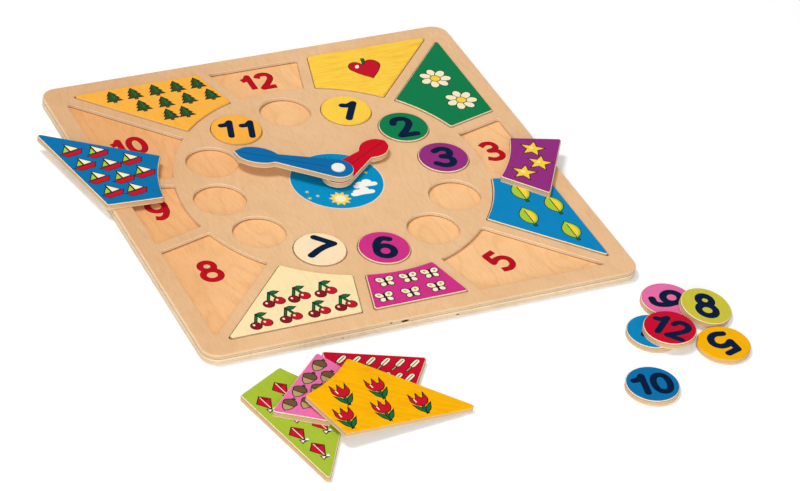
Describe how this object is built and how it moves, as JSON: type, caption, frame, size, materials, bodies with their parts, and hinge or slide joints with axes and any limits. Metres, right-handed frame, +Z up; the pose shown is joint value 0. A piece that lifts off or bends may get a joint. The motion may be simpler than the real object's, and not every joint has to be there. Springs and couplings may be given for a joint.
{
  "type": "inset puzzle teaching clock",
  "caption": "Square plywood inset-puzzle clock with wedge counting pieces, round number discs and leaf-shaped hands on a central rivet; some pieces lie loose on and beside it.",
  "frame": {"origin": "middle of the square tray's underside; the hands' pivot is 1.2 mm right of it and 3 mm below it", "axes": "+Z up out of the tray's face; +Y from the middle towards the twelve; +X towards the three"},
  "size_m": [0.3595, 0.4193, 0.0188],
  "materials": {
    "frame_plywood": "satin",
    "backing_plywood": "satin",
    "white_plastic": "gloss",
    "washer_plastic": "satin",
    "blue_hand_wood": "satin",
    "red_hand_wood": "satin",
    "yellow_painted_wood": "satin",
    "green_painted_wood": "satin",
    "purple_painted_wood": "satin",
    "blue_painted_wood": "satin",
    "orange_painted_wood": "satin",
    "magenta_painted_wood": "satin",
    "cream_painted_wood": "satin",
    "lime_painted_wood": "satin",
    "pink_painted_wood": "satin",
    "deep_blue_painted_wood": "satin",
    "apricot_painted_wood": "satin",
    "red_painted_wood": "satin"
  },
  "bodies": {
    "tray": {"frame_panel": "frame_plywood", "backing_panel": "backing_plywood", "pivot_rivet": "white_plastic", "rear_cap": "white_plastic", "base_washer": "washer_plastic", "hand_washer": "washer_plastic"},
    "hour_hand_body": {"hour_hand": "red_hand_wood"},
    "minute_hand_body": {"minute_hand": "blue_hand_wood"},
    "piece_1_body": {"piece_1": "yellow_painted_wood"},
    "disc_1_body": {"disc_1": "yellow_painted_wood"},
    "piece_2_body": {"piece_2": "green_painted_wood"},
    "disc_2_body": {"disc_2": "green_painted_wood"},
    "piece_3_body": {"piece_3": "purple_painted_wood"},
    "disc_3_body": {"disc_3": "purple_painted_wood"},
    "piece_4_body": {"piece_4": "blue_painted_wood"},
    "disc_4_body": {"disc_4": "blue_painted_wood"},
    "piece_5_body": {"piece_5": "orange_painted_wood"},
    "disc_5_body": {"disc_5": "orange_painted_wood"},
    "piece_6_body": {"piece_6": "magenta_painted_wood"},
    "disc_6_body": {"disc_6": "magenta_painted_wood"},
    "piece_7_body": {"piece_7": "cream_painted_wood"},
    "disc_7_body": {"disc_7": "cream_painted_wood"},
    "piece_8_body": {"piece_8": "lime_painted_wood"},
    "disc_8_body": {"disc_8": "lime_painted_wood"},
    "piece_9_body": {"piece_9": "pink_painted_wood"},
    "disc_9_body": {"disc_9": "pink_painted_wood"},
    "piece_10_body": {"piece_10": "deep_blue_painted_wood"},
    "disc_10_body": {"disc_10": "deep_blue_painted_wood"},
    "piece_11_body": {"piece_11": "apricot_painted_wood"},
    "disc_11_body": {"disc_11": "apricot_painted_wood"},
    "piece_12_body": {"piece_12": "red_painted_wood"},
    "disc_12_body": {"disc_12": "red_painted_wood"}
  },
  "joints": [
    {"name": "hour_hand_turn", "type": "hinge", "parent": "tray", "child": "hour_hand_body", "pos_m": [0.0012, -0.003, 0.0109], "axis": [0, 0, 1], "continuous": true},
    {"name": "minute_hand_turn", "type": "hinge", "parent": "tray", "child": "minute_hand_body", "pos_m": [0.0012, -0.003, 0.0156], "axis": [0, 0, 1], "continuous": true},
    {"name": "piece_1_lift", "type": "slide", "parent": "tray", "child": "piece_1_body", "axis": [0, 0, 1], "range_m": [0, 0.04]},
    {"name": "piece_2_lift", "type": "slide", "parent": "tray", "child": "piece_2_body", "axis": [0, 0, 1], "range_m": [0, 0.04]},
    {"name": "piece_3_lift", "type": "slide", "parent": "piece_4_body", "child": "piece_3_body", "axis": [0, 0, 1], "range_m": [0, 0.04]},
    {"name": "piece_4_lift", "type": "slide", "parent": "tray", "child": "piece_4_body", "axis": [0, 0, 1], "range_m": [0, 0.04]},
    {"name": "piece_5_lift", "type": "slide", "parent": "piece_9_body", "child": "piece_5_body", "axis": [0, 0, 1], "range_m": [0, 0.04]},
    {"name": "piece_6_lift", "type": "slide", "parent": "tray", "child": "piece_6_body", "axis": [0, 0, 1], "range_m": [0, 0.04]},
    {"name": "piece_7_lift", "type": "slide", "parent": "tray", "child": "piece_7_body", "axis": [0, 0, 1], "range_m": [0, 0.04]},
    {"name": "piece_8_lift", "type": "slide", "parent": "tray", "child": "piece_8_body", "axis": [0, 0, 1], "range_m": [0, 0.04]},
    {"name": "piece_9_lift", "type": "slide", "parent": "piece_8_body", "child": "piece_9_body", "axis": [0, 0, 1], "range_m": [0, 0.04]},
    {"name": "piece_10_lift", "type": "slide", "parent": "tray", "child": "piece_10_body", "axis": [0, 0, 1], "range_m": [0, 0.04]},
    {"name": "piece_11_lift", "type": "slide", "parent": "tray", "child": "piece_11_body", "axis": [0, 0, 1], "range_m": [0, 0.04]},
    {"name": "piece_12_draw", "type": "slide", "parent": "tray", "child": "piece_12_body", "axis": [1, 0, 0], "range_m": [0, 0.06]},
    {"name": "disc_1_lift", "type": "slide", "parent": "tray", "child": "disc_1_body", "axis": [0, 0, 1], "range_m": [0, 0.04]},
    {"name": "disc_2_lift", "type": "slide", "parent": "tray", "child": "disc_2_body", "axis": [0, 0, 1], "range_m": [0, 0.04]},
    {"name": "disc_3_lift", "type": "slide", "parent": "tray", "child": "disc_3_body", "axis": [0, 0, 1], "range_m": [0, 0.04]},
    {"name": "disc_4_lift", "type": "slide", "parent": "tray", "child": "disc_4_body", "axis": [0, 0, 1], "range_m": [0, 0.04]},
    {"name": "disc_5_lift", "type": "slide", "parent": "tray", "child": "disc_5_body", "axis": [0, 0, 1], "range_m": [0, 0.04]},
    {"name": "disc_6_lift", "type": "slide", "parent": "tray", "child": "disc_6_body", "axis": [0, 0, 1], "range_m": [0, 0.04]},
    {"name": "disc_7_lift", "type": "slide", "parent": "tray", "child": "disc_7_body", "axis": [0, 0, 1], "range_m": [0, 0.04]},
    {"name": "disc_8_lift", "type": "slide", "parent": "disc_9_body", "child": "disc_8_body", "axis": [0, 0, 1], "range_m": [0, 0.04]},
    {"name": "disc_9_lift", "type": "slide", "parent": "tray", "child": "disc_9_body", "axis": [0, 0, 1], "range_m": [0, 0.04]},
    {"name": "disc_10_lift", "type": "slide", "parent": "tray", "child": "disc_10_body", "axis": [0, 0, 1], "range_m": [0, 0.04]},
    {"name": "disc_11_lift", "type": "slide", "parent": "tray", "child": "disc_11_body", "axis": [0, 0, 1], "range_m": [0, 0.04]},
    {"name": "disc_12_lift", "type": "slide", "parent": "disc_4_body", "child": "disc_12_body", "axis": [0, 0, 1], "range_m": [0, 0.04]}
  ]
}
